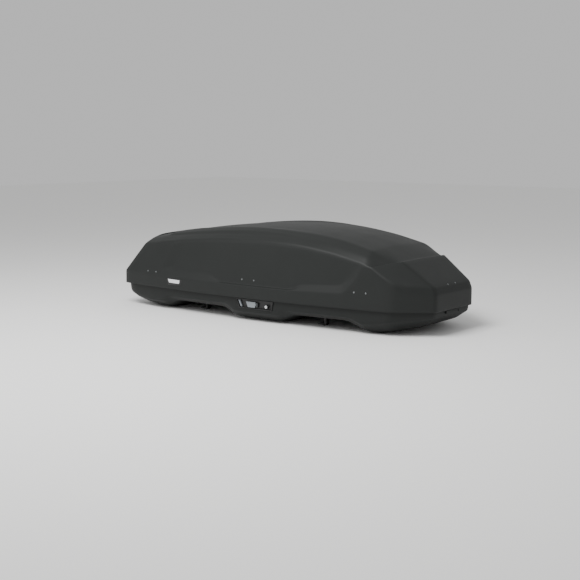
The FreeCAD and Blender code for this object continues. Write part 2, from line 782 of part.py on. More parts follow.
jaw_slots = []
screw_holes = []
for x, y in zip(bar_x, clamp_y):
    for side in (-1, 1):
        centre = side * y
        jaw_slots.append(box(x + 38, x + leg_front + jaw_travel + 3, centre - 14, centre + 14, 0, 80))
        screw_holes += clamp_screws(x, centre)
lock_hole = in_lock_frame(recess_prism(0, -10, 16))
tray_shell = tray_shell.cut(Part.makeCompound(jaw_slots)).cut(Part.makeCompound(screw_holes)).cut(lock_hole)
save("base_tray", tray_shell)

for place, x in zip(("rear", "middle", "front"), latch_x):
    save("hinge_arm_" + place, hinge_arm(x, lid_room).cut(shanks))
    save("hinge_bracket_" + place, hinge_bracket(x, tray_room))
    save("catch_plate_" + place, catch_plate(x, lid_room).cut(shanks))
save("hinge_pins", Part.makeCompound([hinge_pin(x) for x in latch_x]))

save("lock_housing", lock_housing())
save("slide_handle", slide_handle())
save("lock_slider", lock_slider())
save("lock_rod_rear", rear_lock_rod())
save("lock_rod_front", front_lock_rod())
save("lock_finger_rear", rear_lock_finger())
save("lock_finger_middle", middle_lock_finger())
save("lock_finger_front", front_lock_finger())
guides = [rod_guide(x, rear_rod_start, rear_rod_end, tray_room) for x in (-560, -330)]
guides += [rod_guide(x, front_rod_start, front_rod_end, tray_room) for x in (300, 500)]
save("rod_guides", Part.makeCompound(guides))
save("key_cylinder", key_cylinder())
save("key_cam", key_cam())

for place, x in zip(("rear", "front"), strut_x):
    save("strut_cylinder_" + place, strut_cylinder(x))
    save("strut_rod_" + place, strut_rod(x))
    save("strut_foot_" + place, strut_foot_bracket(x, tray_room))
    save("strut_head_" + place, strut_head_bracket(x, lid_room))

all_screws = []
for place, x, y in zip(("rear", "front"), bar_x, clamp_y):
    save("floor_rail_" + place, floor_rail(x))
    for name, centre in (("near", -y), ("far", y)):
        tag = "_" + place + "_" + name
        save("clamp_housing" + tag, clamp_housing(x, centre))
        save("clamp_jaw" + tag, clamp_jaw(x, centre))
        save("clamp_knob" + tag, clamp_knob(x, centre))
        save("bar_pad" + tag, bar_pad(x, centre))
        all_screws += clamp_screws(x, centre)
save("clamp_screws", Part.makeCompound(all_screws))
save("nose_guide", nose_guide(tray_room))
save("nose_grip", nose_grip())
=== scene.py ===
import json
from math import cos, pi, radians, sin, sqrt
import bmesh
import bpy
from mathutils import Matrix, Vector
from mathutils.bvhtree import BVHTree


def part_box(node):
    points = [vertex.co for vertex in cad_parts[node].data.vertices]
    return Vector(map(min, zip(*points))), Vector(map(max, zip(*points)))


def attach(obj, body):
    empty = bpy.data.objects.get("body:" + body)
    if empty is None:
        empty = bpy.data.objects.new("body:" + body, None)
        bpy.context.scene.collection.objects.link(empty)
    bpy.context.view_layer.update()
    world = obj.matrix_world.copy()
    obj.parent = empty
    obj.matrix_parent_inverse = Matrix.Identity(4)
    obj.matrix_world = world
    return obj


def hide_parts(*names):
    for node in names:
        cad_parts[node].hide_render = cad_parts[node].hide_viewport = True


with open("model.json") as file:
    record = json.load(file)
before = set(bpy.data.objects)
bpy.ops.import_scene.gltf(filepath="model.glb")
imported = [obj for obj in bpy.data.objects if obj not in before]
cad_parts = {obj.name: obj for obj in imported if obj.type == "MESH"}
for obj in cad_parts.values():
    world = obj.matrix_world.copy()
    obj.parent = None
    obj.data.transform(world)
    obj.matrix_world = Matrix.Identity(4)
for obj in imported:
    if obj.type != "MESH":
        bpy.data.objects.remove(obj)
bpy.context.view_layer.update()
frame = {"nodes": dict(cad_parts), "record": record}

mm = 0.001

lidLow, lidHigh = (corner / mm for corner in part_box("lid_shell"))
trayLow, trayHigh = (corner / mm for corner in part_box("base_tray"))

shape = {
    "rimZ": lidLow.z,                  # the lid's lower edge
    "rearX": lidLow.x,
    "noseX": lidHigh.x,
    "cornerX": lidHigh.x - 175.0,      # where the sides end and the nose facets begin
    "rearHalf": 416.0,                 # half width at the rear
    "cornerHalf": 305.0,               # half width at the nose corner
    "bow": 60.0,                       # how far the sides bow out between the two
    "faceHalf": 171.0,                 # half width of the flat front face
    "noseShares": (0.0, 0.36, 0.72, 1.0),   # columns of the nose facet, from the corner to the face
    "skirt": 70.0,                     # the lid's wall is upright up to this height above the rim
    "wall": 4.0,
    "gap": 8.0,                        # between the lid's skirt and the tray's wall
    "trayTop": trayHigh.z,
    "trayFoot": trayLow.z,
    "channelRoof": 48.0,               # the tray's floor over the two bars
    "edgeSoftness": 0.65,              # scales every crease: lower is rounder
    "roundLevels": 2,                  # subdivision levels that round the skins off
}


def sideY(x):  # half width of the box at x
    span = shape["cornerX"] - shape["rearX"]
    middle = (shape["cornerX"] + shape["rearX"]) / 2
    narrowing = (shape["cornerHalf"] - shape["rearHalf"]) / span
    straight = shape["rearHalf"] + (x - shape["rearX"]) * narrowing
    return straight + shape["bow"] * (1 - (2 * (x - middle) / span) ** 2)


def blendPoints(a, b, t):
    return tuple(p + t * (q - p) for p, q in zip(a, b))


def smoothStep(a, b, value):  # 0 up to a, 1 from b on, with a soft start and end
    t = min(1.0, max(0.0, (value - a) / (b - a)))
    return t * t * (3 - 2 * t)


def linear(hexColour):  # sRGB hex to the linear colour that the shader wants
    channels = [int(hexColour[k:k + 2], 16) / 255 for k in (1, 3, 5)]
    return [c / 12.92 if c <= 0.04045 else ((c + 0.055) / 1.055) ** 2.4 for c in channels] + [1.0]


def perMetre(size):  # a pattern's scale, from the real size in millimetres of what it repeats
    return 1 / (size * mm)


def addNode(tree, kind, settings=None, inputs=None, links=None):  # links name the sockets that feed it
    node = tree.nodes.new(kind)
    for name, value in (settings or {}).items():
        setattr(node, name, value)
    for name, value in (inputs or {}).items():
        node.inputs[name].default_value = value
    for name, source in (links or {}).items():
        tree.links.new(source, node.inputs[name])
    return node


def newObject(name, data):  # data is a mesh, a lamp or a camera
    made = bpy.data.objects.new(name, data)
    bpy.context.scene.collection.objects.link(made)
    return made


def settle(piece):  # turn an object and its modifiers into one plain mesh
    graph = bpy.context.evaluated_depsgraph_get()
    mesh = bpy.data.meshes.new_from_object(piece.evaluated_get(graph))
    piece.modifiers.clear()
    piece.data = mesh
    for face in mesh.polygons:
        face.use_smooth = True
    return piece


def facedOut(mesh):  # turn the faces of a closed mesh outwards
    work = bmesh.new()
    work.from_mesh(mesh)
    bmesh.ops.recalc_face_normals(work, faces=work.faces)
    work.to_mesh(mesh)
    work.free()
    return mesh


def finishPiece(piece, material, body, slot, *nodes):
    piece.data.materials.clear()
    piece.data.materials.append(material)
    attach(piece, body)
    if nodes:
        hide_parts(*nodes)
    return piece


def newMaterial(name):
    material = bpy.data.materials.new(name)
    material.use_nodes = True
    tree = material.node_tree
    tree.nodes.clear()
    place = addNode(tree, "ShaderNodeTexCoord").outputs["Object"]
    shader = addNode(tree, "ShaderNodeBsdfPrincipled")
    addNode(tree, "ShaderNodeOutputMaterial", links={"Surface": shader.outputs[0]})
    return material, tree, place, shader


def wander(tree, shader, colours, pattern, roughness=None, dullness=None):  # colour and gloss follow patterns
    tone = addNode(tree, "ShaderNodeMix", {"data_type": "RGBA"},
                   {"A": linear(colours[0]), "B": linear(colours[1])}, {"Factor": pattern})
    tree.links.new(tone.outputs["Result"], shader.inputs["Base Color"])
    if roughness:
        dull = addNode(tree, "ShaderNodeMapRange", None, {"To Min": roughness[0], "To Max": roughness[1]},
                       {"Value": dullness or pattern})
        tree.links.new(dull.outputs[0], shader.inputs["Roughness"])


def texturedAbs(name, colours, roughness):  # thermoformed sheet: matt, with a leather grain and faint marks
    material, tree, place, shader = newMaterial(name)
    leather = addNode(tree, "ShaderNodeTexVoronoi", {"feature": "SMOOTH_F1"}, {"Scale": perMetre(2.4)},
                      {"Vector": place})  # real cells are about 1 mm, drawn coarser to show
    fine = addNode(tree, "ShaderNodeTexNoise", None, {"Scale": perMetre(0.96), "Detail": 2.0},
                   {"Vector": place})
    height = addNode(tree, "ShaderNodeMath", {"operation": "MULTIPLY_ADD"}, {1: 0.5},
                     {0: fine.outputs[0], 2: leather.outputs["Distance"]})
    patches = addNode(tree, "ShaderNodeTexNoise", None,
                      {"Scale": perMetre(111), "Detail": 5.0, "Roughness": 0.6}, {"Vector": place})
    wander(tree, shader, colours, patches.outputs[0], (roughness - 0.05, roughness + 0.06))
    bumped = addNode(tree, "ShaderNodeBump", None, {"Strength": 0.3, "Distance": 0.25 * mm},
                     {"Height": height.outputs[0]})
    tree.links.new(bumped.outputs[0], shader.inputs["Normal"])
    shader.inputs["Specular IOR Level"].default_value = 0.22
    return material


def mouldedPlastic(name, colours, roughness):  # injection moulded: a fine even texture, a little shine
    material, tree, place, shader = newMaterial(name)
    speck = addNode(tree, "ShaderNodeTexNoise", None, {"Scale": perMetre(1.1), "Detail": 3.0},
                    {"Vector": place})  # a real mould's texture is finer than 0.1 mm, drawn coarser to show
    cloud = addNode(tree, "ShaderNodeTexNoise", None, {"Scale": perMetre(33.3), "Detail": 4.0},
                    {"Vector": place})
    wander(tree, shader, colours, cloud.outputs[0], (roughness - 0.06, roughness + 0.08))
    bumped = addNode(tree, "ShaderNodeBump", None, {"Strength": 0.25, "Distance": 0.1 * mm},
                     {"Height": speck.outputs[0]})
    tree.links.new(bumped.outputs[0], shader.inputs["Normal"])
    return material


def zincPlate(name, colours, roughness):  # plated sheet steel: soft grey with faint spangle
    material, tree, place, shader = newMaterial(name)
    spangle = addNode(tree, "ShaderNodeTexVoronoi", None, {"Scale": perMetre(3.0)}, {"Vector": place})
    shade = addNode(tree, "ShaderNodeSeparateColor", None, None, {"Color": spangle.outputs["Color"]})
    wander(tree, shader, colours, shade.outputs[0], (roughness - 0.05, roughness + 0.1), shade.outputs[1])
    shader.inputs["Metallic"].default_value = 1.0
    return material


def drawnMetal(name, colours, roughness, stretch=(1, 1, 1)):  # fine lines along the way it was worked
    material, tree, place, shader = newMaterial(name)
    along = addNode(tree, "ShaderNodeMapping", None, {"Scale": stretch}, {"Vector": place})
    lines = addNode(tree, "ShaderNodeTexNoise", None, {"Scale": perMetre(1.111), "Detail": 3.0},
                    {"Vector": along.outputs[0]})  # real lines are under 0.1 mm, drawn coarser to show
    wander(tree, shader, colours, lines.outputs[0], (roughness - 0.06, roughness + 0.08))
    shader.inputs["Metallic"].default_value = 1.0
    return material


def powderCoat(name, colours, roughness):  # baked paint: black satin with slight orange peel
    material, tree, place, shader = newMaterial(name)
    peel = addNode(tree, "ShaderNodeTexNoise", None, {"Scale": perMetre(1.6), "Detail": 2.0},
                   {"Vector": place})
    cloud = addNode(tree, "ShaderNodeTexNoise", None, {"Scale": perMetre(40), "Detail": 4.0},
                    {"Vector": place})
    wander(tree, shader, colours, cloud.outputs[0])
    bumped = addNode(tree, "ShaderNodeBump", None, {"Strength": 0.3, "Distance": 0.15 * mm},
                     {"Height": peel.outputs[0]})
    tree.links.new(bumped.outputs[0], shader.inputs["Normal"])
    shader.inputs["Roughness"].default_value = roughness
    return material


absLid = texturedAbs("grainedAbsLid", ("#1d1f1e", "#212322"), 0.5)
absTray = texturedAbs("grainedAbsTray", ("#1a1c1b", "#1e201f"), 0.55)
nylonBlack = mouldedPlastic("blackNylon", ("#141414", "#1c1c1c"), 0.45)
nylonKnob = mouldedPlastic("greyNylonKnob", ("#26282a", "#303234"), 0.5)
absSilver = mouldedPlastic("silverGreyAbs", ("#777c81", "#83888c"), 0.4)
badgeAbs = mouldedPlastic("paleBadgeAbs", ("#d9dcdd", "#e4e6e7"), 0.3)
padRubber = mouldedPlastic("ribbedRubber", ("#121212", "#1d1d1c"), 0.8)
zinc = zincPlate("zincPlatedSteel", ("#9a9d9e", "#b4b7b6"), 0.38)
rivetSteel = drawnMetal("greyZincRivetSteel", ("#6d7071", "#7f8283"), 0.36)
ribAluminium = drawnMetal("drawnAluminium", ("#b3b5b7", "#c8cacb"), 0.33, (0.02, 1, 1))
strutSteel = drawnMetal("groundStrutRod", ("#c4c6c8", "#dcdedf"), 0.15)
lockChrome = drawnMetal("platedLockCore", ("#d2d4d6", "#ededee"), 0.2)
clawPaint = powderCoat("blackPowderCoat", ("#101010", "#191919"), 0.42)
strutPaint = powderCoat("blackStrutPaint", ("#0d0d0d", "#151515"), 0.25)

slotMaterials = {
    "lid_plastic": absLid, "tray_plastic": absTray, "inner_plastic": nylonBlack, "black_plastic": nylonBlack,
    "handle_plastic": absSilver, "knob_plastic": nylonKnob, "badge_plastic": badgeAbs,
    "rivet_steel": rivetSteel, "zinc_steel": zinc, "rib_aluminium": ribAluminium, "strut_black": strutPaint,
    "rod_steel": strutSteel, "claw_steel": clawPaint, "pad_rubber": padRubber, "lock_chrome": lockChrome,
}
for part in frame["record"]["subparts"]:
    carried = frame["nodes"][part["node"]].data
    carried.materials.clear()
    carried.materials.append(slotMaterials[part["material_slot"]])
print("materials made:", len(slotMaterials))

# Both skins are half nets of points, mirrored. Columns run from the rim along the walls, one after the other
# from the rear round to the nose. Rows run from the last point of each side column to the middle.
rearCorner, firstSide, firstNose, noseFace, noseMiddle = 4, 5, 19, 22, 23  # places in the list of columns


def mirrored(p):
    return (p[0], -p[1], p[2])


def ring(columns, level, first, last):  # a line along the wall at one level, from column to column
    return [columns[k][level] for k in range(first, last + 1)]


def denserLine(line):  # the same line with a point halfway along each step
    points = []
    for a, b in zip(line, line[1:]):
        points += [a, blendPoints(a, b, 0.5)]
    return points + [line[-1]]


def denserNet(net):  # twice as many lines and twice as many points, so rounding off stays near the edges
    lines = [denserLine(line) for line in net]
    made = []
    for left, right in zip(lines, lines[1:]):
        made += [left, [blendPoints(a, b, 0.5) for a, b in zip(left, right)]]
    return made + [lines[-1]]


def netMesh(name, columns, rows, creases, inward=False):  # both halves; creases are (line, weight)
    columns, rows = denserNet(columns), denserNet(rows)
    creases = [(denserLine(line), weight) for line, weight in creases]
    found = {}
    places = []

    def index(p):
        key = tuple(round(c, 3) for c in p)
        if key not in found:
            found[key] = len(places)
            places.append([c * mm for c in p])
        return found[key]

    faces = []
    for net in (columns, rows):
        for left, right in zip(net, net[1:]):
            for k in range(len(left) - 1):
                near = (left[k], right[k], right[k + 1], left[k + 1])
                far = tuple(mirrored(p) for p in reversed(near))
                for corners in (near, far):
                    loop = list(dict.fromkeys(index(p) for p in corners))
                    if len(loop) > 2:
                        faces.append(loop[::-1] if inward else loop)
    mesh = bpy.data.meshes.new(name)
    mesh.from_pydata(places, [], faces)
    sharp = {}
    for line, weight in creases:
        for a, b in zip(line, line[1:]):
            for p, q in ((a, b), (mirrored(a), mirrored(b))):
                sharp[frozenset((index(p), index(q)))] = shape["edgeSoftness"] * weight
    layer = mesh.attributes.new("crease_edge", "FLOAT", "EDGE")
    for edge in mesh.edges:
        layer.data[edge.index].value = sharp.get(frozenset(edge.vertices), 0.0)
    return mesh


def roundedOff(name, mesh):  # the net's outer face with its edges softly rounded
    piece = newObject(name, mesh)
    smooth = piece.modifiers.new("round", "SUBSURF")
    smooth.levels = shape["roundLevels"]
    smooth.render_levels = shape["roundLevels"]
    smooth.boundary_smooth = "PRESERVE_CORNERS"
    return settle(piece)


def thicken(piece, thickness):
    thick = piece.modifiers.new("sheet", "SOLIDIFY")
    thick.thickness = thickness * mm
    thick.offset = -1.0
    thick.use_even_offset = True
    return settle(piece)


def prismObject(name, outline, push):  # an outline pushed along a vector
    mesh = bpy.data.meshes.new(name)
    count = len(outline)
    points = list(outline) + [tuple(a + b for a, b in zip(p, push)) for p in outline]
    faces = [(k, (k + 1) % count, (k + 1) % count + count, k + count) for k in range(count)]
    faces += [tuple(range(count))[::-1], tuple(range(count, 2 * count))]
    mesh.from_pydata([[c * mm for c in p] for p in points], [], faces)
    return newObject(name, facedOut(mesh))


def cutWith(piece, tools):
    for tool in tools:
        cut = piece.modifiers.new("cut", "BOOLEAN")
        cut.operation = "DIFFERENCE"
        cut.solver = "EXACT"
        cut.object = tool
    settle(piece)
    for tool in tools:
        bpy.data.objects.remove(tool)
    return piece


lidNet = {
    "rearHeights": (0.0, 72.0, 92.0, 130.0),    # of the wall's breaks above the rim
    "rearTops": ((0.0, 293.0), (145.0, 291.0), (288.0, 284.0)),   # (y, height) of the rear columns
    "cornerTops": ((0.0, 50.0, 262.0), (9.0, 9.0, 236.0), (48.0, 0.0, 236.0)),   # (ahead, inwards, height)
    "rearLean": 0.9,                            # run for each unit of rise above the skirt
    "sideLean": 0.14,
    "side": (   # x of each break, heights there (None is on the shoulder line), whether the panel is let in
        ((-760, -760, -758, -745, -670), (0, 68, 88, 118, None), False),
        ((-607, -607, -620, -634, -542), (0, 63, 85, 107, None), False),
        ((-515, -515, -513, -560, -482), (0, 64, 101, 128, None), True),
        ((-400, -400, -400, -410, -390), (0, 65, 103, 140, None), True),
        ((-276, -276, -276, -276, -276), (0, 66, 105, 145, None), True),
        ((-206, -206, -206, -206, -190), (0, 66, 72, 130, None), True),
        ((-60, -60, -60, -60, -60), (0, 66, 72, 130, None), True),
        ((100, 100, 100, 100, 100), (0, 66, 71, 128, None), True),
        ((259, 259, 259, 259, 250), (0, 66, 70, 125, None), True),
        ((305, 305, 305, 305, 330), (0, 66, 99, 140, None), True),
        ((420, 420, 420, 430, 470), (0, 68, 105, 140, None), True),
        ((530, 530, 533, 557, 622), (0, 70, 112, 138, None), True),
        ((552, 549, 575, 609, 650), (0, 73, 105, 143, None), False),
    ),
    "panelDepth": 11.0,                         # how far the side panel is let in
    "noseStart": 600.0,                         # ahead of this the side leans in less
    "noseLean": 0.6,
    "noseHeights": (0.0, 60.0, 86.0, 119.0),
    "cornerRise": 13.0,                         # the uppermost break climbs by this towards the corner
    "cornerSteps": ((0, 0), (0, 0), (3, -1), (11, -8)),      # (x, y) from the nose corner at each break
    "faceSteps": ((0, 0), (0, 0), (0, -1), (-13, -4)),       # (x, y) from the front face at each break
    "cornerTop": (683.0, 317.0, 210.0),         # where shoulder, nose and side meet
    "lipTop": (785.0, 190.0, 233.0),            # front corner of the nose's lip
    "lipCrown": 3.0,
    "lipWidth": 9.0,
    "lipDrop": 6.0,                             # step down behind the lip
    "bulge": (8.0, 3.0, 10.0),                  # the shoulder swells out, and up, and up behind bulgeX
    "bulgeX": -600.0,
    "crown": 11.0,                              # the roof is this much higher in the middle
    "crownAt": (0.55, 0.7),                     # at this share of the half width, this share of the crown
    "railRise": 8.0,                            # rounded rail along the shoulder's upper edge
    "railFloor": 230.0,                         # the rail changes nothing below this height
    "railStart": (-672.0, -642.0),              # it swells up between these two
    "railEnd": (-100.0, 300.0),                 # and sinks between these
    "railFoot": (84.0, 104.0),                  # distance in from the side where the rail climbs
    "railBack": (146.0, 185.0),                 # and where it sinks back into the roof
}

lidSharpness = {
    "skirt": 0.6, "rearCorner": 0.75, "besideCorner": 0.4, "rearTop": 0.5, "shoulder": 0.6,
    "panel": 0.7, "panelEnd": 0.65, "panelNotch": 0.6, "noseSkirt": 0.5, "noseBreak": 0.6, "lip": 0.75,
    "faceEdge": 0.65, "noseCorner": 0.5, "roofEdge": 0.62,
}

shoulder = {
    "lowPeak": (60.0, 298.0),                   # (x, height) of the lower line's highest point
    "lowFall": (9.6e-5, 2.3e-4),                # how fast it falls to the rear and to the nose
    "highPeak": (50.0, 349.5),
    "highFall": (1.12e-4, 1.6e-4),
    "highTail": 1.4e-10,                        # the upper line drops faster still at the nose
    "inset": (144.5, 61.5),                     # how far in the upper line lies, and how much less ahead
    "insetRun": (330.0, 750.0),
}


def shoulderLow(x):
    peakX, peak = shoulder["lowPeak"]
    return peak - shoulder["lowFall"][x >= peakX] * (x - peakX) ** 2


def shoulderHigh(x):
    peakX, peak = shoulder["highPeak"]
    away = x - peakX
    if away < 0:
        return peak - shoulder["highFall"][0] * away ** 2
    return peak - shoulder["highFall"][1] * away ** 2 - shoulder["highTail"] * away ** 4


def shoulderInset(x):
    wide, less = shoulder["inset"]
    return wide - less * smoothStep(*shoulder["insetRun"], x)


def flushInset(height):
    return lidNet["sideLean"] * max(0, height - shape["skirt"])


def rearLean(height):
    return shape["rearX"] + lidNet["rearLean"] * max(0, height - shape["skirt"])


def rearColumns():
    rim, breaks = shape["rimZ"], lidNet["rearHeights"]
    columns = []
    for y, top in lidNet["rearTops"]:
        columns.append([(rearLean(h), -y, rim + h) for h in breaks + (top,)])
    cornerY = sideY(shape["rearX"])
    for ahead, inwards, top in lidNet["cornerTops"]:
        columns.append([(rearLean(h) + ahead, -(cornerY - inwards - flushInset(h)), rim + h)
                        for h in breaks + (top,)])
    return columns


def sideColumn(xs, heights, letIn):
    column = []
    for k, (x, height) in enumerate(zip(xs, heights)):
        h = shoulderLow(x) if height is None else height
        inset = flushInset(h)
        if letIn and k >= 2:
            inset += lidNet["panelDepth"] * (1.0 if k < 4 else 0.5)
        if x > lidNet["noseStart"]:
            inset *= lidNet["noseLean"]
        column.append((x, -(sideY(x) - inset), shape["rimZ"] + h))
    return column


def noseColumns():
    rim, levels = shape["rimZ"], lidNet["noseHeights"]
    cornerTop, lipTop = lidNet["cornerTop"], lidNet["lipTop"]
    corner = [(shape["cornerX"] + x, shape["cornerHalf"] + y) for x, y in lidNet["cornerSteps"]]
    face = [(shape["noseX"] + x, shape["faceHalf"] + y) for x, y in lidNet["faceSteps"]]
    heights = levels[:3] + (levels[3] + lidNet["cornerRise"],)
    columns = []
    for share in shape["noseShares"]:
        column = []
        for k in range(4):
            column.append(blendPoints(corner[k] + (heights[k],), face[k] + (levels[k],), share))
        column.append(blendPoints(cornerTop, lipTop, share))
        columns.append([(x, -y, rim + h) for x, y, h in column])
    middle = [(place[0], 0.0, rim + level) for place, level in zip(face, levels)]
    return columns + [middle + [(lipTop[0], 0.0, rim + lipTop[2] + lidNet["lipCrown"])]]


def lidRows(columns):
    sideways, up, upRear = lidNet["bulge"]
    crownY, crownShare = lidNet["crownAt"]
    rows = [[columns[k][-1] for k in range(rearCorner, -1, -1)]]
    for column in columns[firstSide:firstNose]:
        x, y, z = column[-1]
        high = shoulderHigh(x) + shape["rimZ"]
        topY = sideY(x) - shoulderInset(x)
        midZ = (z + high) / 2 + (upRear if x < lidNet["bulgeX"] else up)
        rows.append([column[-1], (x, -((topY - y) / 2 + sideways), midZ), (x, -topY, high),
                     (x, -crownY * topY, high + crownShare * lidNet["crown"]),
                     (x, 0.0, high + lidNet["crown"])])
    lip = [column[-1] for column in columns[firstNose:]]
    behind = [(x - lidNet["lipWidth"], y, z - lidNet["lipDrop"]) for x, y, z in lip[1:]]
    return rows + [lip[:1] + behind, lip]


def lidCreases(columns, rows):
    sharp = lidSharpness
    roofEdge = [row[2] for row in rows[1:-2]] + [columns[noseFace - 1][4]]
    return [
        (ring(columns, 1, 0, 6), sharp["skirt"]),
        (columns[rearCorner], sharp["rearCorner"]),
        (columns[rearCorner - 1], sharp["besideCorner"]),
        (columns[rearCorner + 1], sharp["besideCorner"]),
        (ring(columns, 4, 0, rearCorner), sharp["rearTop"]),
        (ring(columns, 4, rearCorner, firstNose), sharp["shoulder"]),
        (ring(columns, 1, 7, 18), sharp["panel"]),
        (ring(columns, 2, 8, 17), sharp["panel"]),
        (columns[7][1:], sharp["panelEnd"]),
        (columns[8][2:], sharp["panelEnd"]),
        (ring(columns, 3, 7, 8), sharp["panelNotch"]),
        (ring(columns, 2, 7, 8), sharp["panelNotch"]),
        (columns[17][2:], sharp["panelEnd"]),
        (columns[18][1:], sharp["panelEnd"]),
        (ring(columns, 2, firstNose + 1, noseMiddle), sharp["noseSkirt"]),
        (ring(columns, 3, firstNose + 1, noseMiddle), sharp["noseBreak"]),
        (ring(columns, 4, firstNose, noseMiddle), sharp["lip"]),
        (rows[-2], sharp["lip"]),
        (columns[noseFace], sharp["faceEdge"]),
        (columns[firstNose][3:], sharp["noseCorner"]),
        (roofEdge, sharp["roofEdge"]),
    ]


def raiseRail(mesh):  # the shoulder carries a low rounded rail: blunt at the rear, fading out forwards
    for vertex in mesh.vertices:
        x, y, z = (c / mm for c in vertex.co)
        if z < shape["rimZ"] + lidNet["railFloor"] or x < lidNet["railStart"][0]:
            continue
        inset = sideY(x) - abs(y)
        swell = smoothStep(*lidNet["railFoot"], inset) * (1 - smoothStep(*lidNet["railBack"], inset))
        length = smoothStep(*lidNet["railStart"], x) * (1 - smoothStep(*lidNet["railEnd"], x))
        vertex.co.z += lidNet["railRise"] * mm * swell * length


badge = {
    "x": -530.0,
    "outline": ((-591, 176), (-473, 176), (-485, 147), (-576, 141)),   # (x, z) seen from the side
    "insert": ((-578, 175), (-487, 174), (-492, 155), (-569, 156)),
    "depth": 1.6,                      # of the pocket that it sits in
    "frameOut": -0.2,                  # from the side's outer face: below 0 is sunk in
    "insertOut": 0.0,
    "insertBack": -1.2,
    "rounding": (0.5, 0.4),            # edge radius of the frame and of the insert
    "cutOut": 6.0,                     # the pocket's cutter starts this far outside
}


def badgePrism(name, outline, outer, inner):
    y = sideY(badge["x"])
    return prismObject(name, [(x, -(y + outer), z) for x, z in outline], (0, outer - inner, 0))


def makeLid():
    columns = rearColumns() + [sideColumn(*entry) for entry in lidNet["side"]] + noseColumns()
    rows = lidRows(columns)
    piece = roundedOff("lidSkin", netMesh("lidSkin", columns, rows, lidCreases(columns, rows)))
    raiseRail(piece.data)
    surface = piece.data.copy()
    thicken(piece, shape["wall"])
    cutWith(piece, [badgePrism("pocket", badge["outline"], badge["cutOut"], -badge["depth"])])
    finishPiece(piece, absLid, "lid", "lid_plastic", "lid_shell")
    return piece, surface


lidSkin, lidSurface = makeLid()
print("lid made:", len(lidSkin.data.polygons), "faces")

trayInset = shape["wall"] + shape["gap"]  # the tray's wall stands this far inside the lid's outer face

trayNet = {
    "rearY": (0.0, 145.0, 270.0),
    "rearWall": ((4.0, 76.0), (63.0, 40.0), (116.0, 16.0)),            # (ahead of the rim, z) of each break
    "corner": ((0.0, 60.0, 74.0), (12.0, 26.0, 70.0), (50.0, trayInset, 66.0)),   # (ahead, inwards, z)
    "cornerStep": 4.0,
    "cornerLow": ((63.0, 12.0, 44.0, 0.6), (116.0, 50.0, 18.0, 0.3)),  # (ahead, inwards, z, share of ahead)
    "side": (   # x at the rim, x at the floor's edge, z of the wall's break, whether it lies over a bar
        (-740, -740, 42, False), (-636, -640, 42, False), (-587, -545, 75, True), (-400, -400, 78, True),
        (-170, -200, 82, True), (-116, -140, 48, False), (20, 20, 47, False), (160, 150, 50, False),
        (207, 240, 77, True), (390, 390, 79, True), (579, 540, 77, True), (628, 636, 51, False),
        (700, 690, 56, False),
    ),
    "wallSteps": ((2.0, 20.0), (7.0, 0.0)),                            # (inwards, above the break)
    "edgeOverBar": (46.0, shape["channelRoof"] + 8.0),                 # (inwards, z) of the floor's edge
    "edgeBetween": (62.0, 14.0),
    "rearFloor": 4.0,
    "floorShares": (0.86, 0.68, 0.36, 0.0),                            # of the edge's y, along each row
    "keel": ((20.0, 0.8, 16.0), (30.0, 0.6, 14.0),
             (36.0, 0.32, 13.0), (38.0, 0.0, 12.0)),                   # (ahead, share, z)
    "noseCorner": ((778, 296, shape["trayTop"]), (777, 294, 88), (774, 290, 70), (752, 252, 24)),
    "noseFace": ((948, 165, shape["trayTop"]), (948, 164, 104), (945, 160, 90), (893, 138, 50)),
    "rampColumns": (7, 8, 10, 11, 13, 14, 16, 17),                     # both ends of each ramp by a bar
    "slotLength": (20.0, 43.0),                                        # from the claw's front, back and ahead
    "slotHalf": 14.0,
    "slotZ": (20.0, 80.0),
}

traySharpness = {
    "wallBreak": 0.6, "floorEdge": 0.6, "noseFace": 0.6, "rearCorner": 0.5, "rim": 1.0, "ramp": 0.42,
}


def trayColumns():
    top, start = shape["trayTop"], shape["rearX"] + trayInset
    columns = []
    for y in trayNet["rearY"]:
        columns.append([(start, -y, top)] + [(start + ahead, -y, z) for ahead, z in trayNet["rearWall"]])
    for ahead, inwards, z in trayNet["corner"]:
        y = sideY(shape["rearX"]) - inwards
        step = trayNet["cornerStep"]
        column = [(start + ahead, -y, top), (start + step + ahead, -(y - step), z)]
        for further, inner, low, share in trayNet["cornerLow"]:
            column.append((start + further + share * ahead, -(y - inner), low))
        columns.append(column)
    for x, lowX, breakZ, overBar in trayNet["side"]:
        y = sideY(x) - trayInset
        drop, low = trayNet["edgeOverBar" if overBar else "edgeBetween"]
        wall = [(x, -(y - inwards), breakZ + above) for inwards, above in trayNet["wallSteps"]]
        columns.append([(x, -y, top)] + wall + [(lowX, -(sideY(lowX) - drop), low)])
    for share in shape["noseShares"]:
        pairs = zip(trayNet["noseCorner"], trayNet["noseFace"])
        columns.append([mirrored(blendPoints(a, b, share)) for a, b in pairs])
    return columns + [[(x, 0.0, z) for x, y, z in trayNet["noseFace"]]]


def trayRows(columns):
    rows = [[columns[k][-1] for k in range(rearCorner, -1, -1)]]
    for column in columns[firstSide:firstNose]:
        x, y, z = column[-1]
        floor = shape["channelRoof"] if z > shape["channelRoof"] else shape["trayFoot"]
        if len(rows) == 1:
            floor = trayNet["rearFloor"]
        rows.append([column[-1]] + [(x, share * y, floor) for share in trayNet["floorShares"]])
    nose = [column[-1] for column in columns[firstNose:]]
    x, y, z = nose[0]
    rows.append([nose[0]] + [(x + ahead, share * y, keelZ) for ahead, share, keelZ in trayNet["keel"]])
    return rows + [nose]


